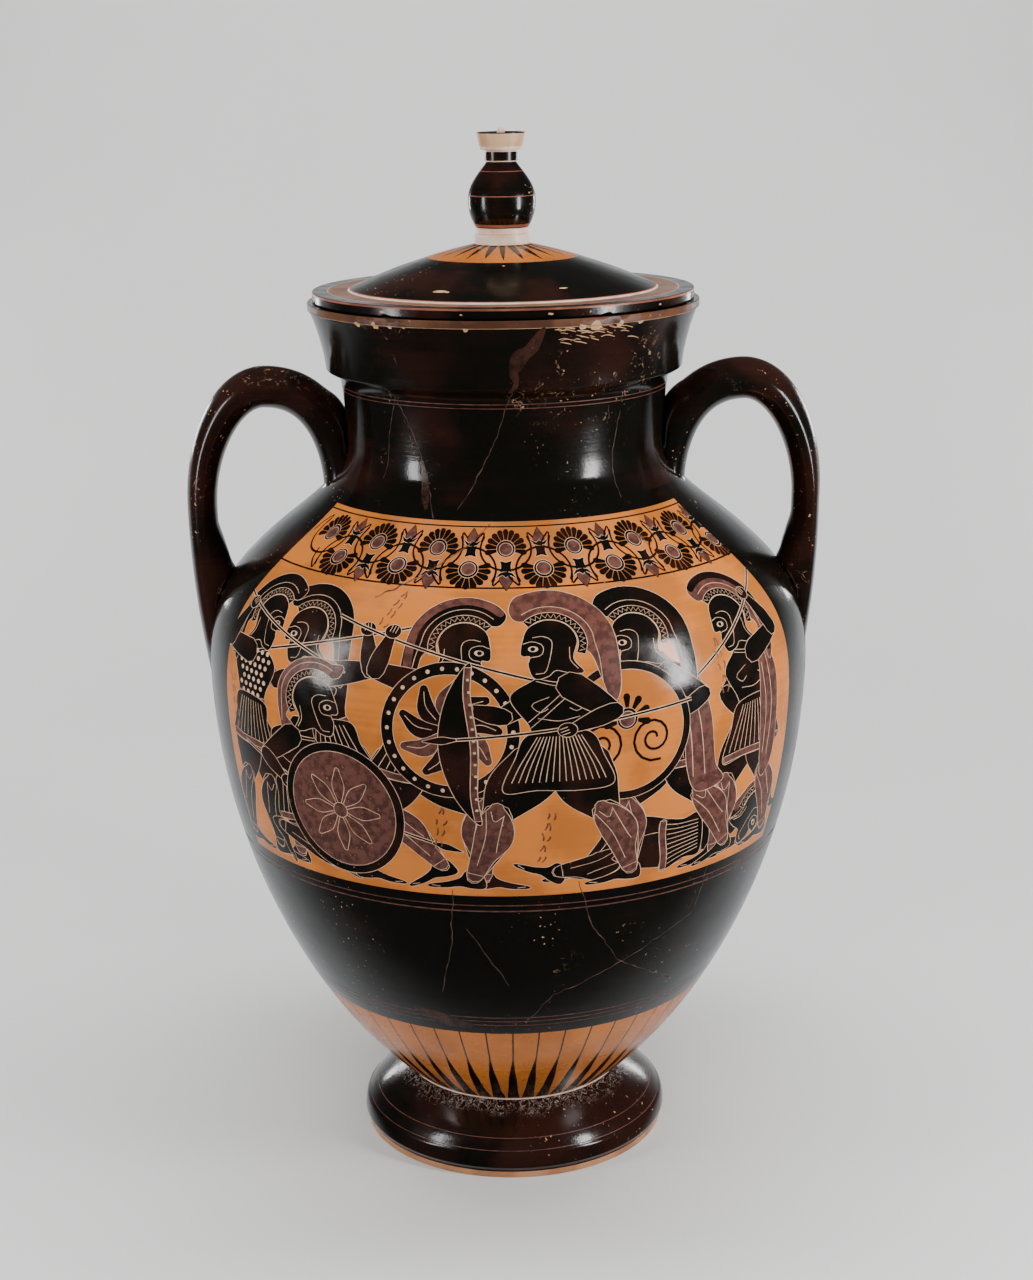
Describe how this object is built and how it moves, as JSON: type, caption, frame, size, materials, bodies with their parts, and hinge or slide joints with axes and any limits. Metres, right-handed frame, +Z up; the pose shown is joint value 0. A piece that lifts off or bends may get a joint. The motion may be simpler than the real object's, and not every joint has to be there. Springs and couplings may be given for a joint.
{
  "type": "lidded psykter amphora",
  "caption": "Tall hollow pottery jar with two upright handles, a flaring collar mouth, a spreading foot and a loose conical lid with a pomegranate knob.",
  "frame": {"origin": "on the floor, on the axis of the pot, under the foot", "axes": "+Z up along the axis of the pot, the handles stand on +X and -X, and the better painted panel faces -Y"},
  "size_m": [0.3686, 0.3472, 0.5967],
  "materials": {
    "amphora": "gloss",
    "lid": "gloss"
  },
  "bodies": {
    "root": {"amphora": "amphora", "lid": "lid"}
  },
  "joints": []
}
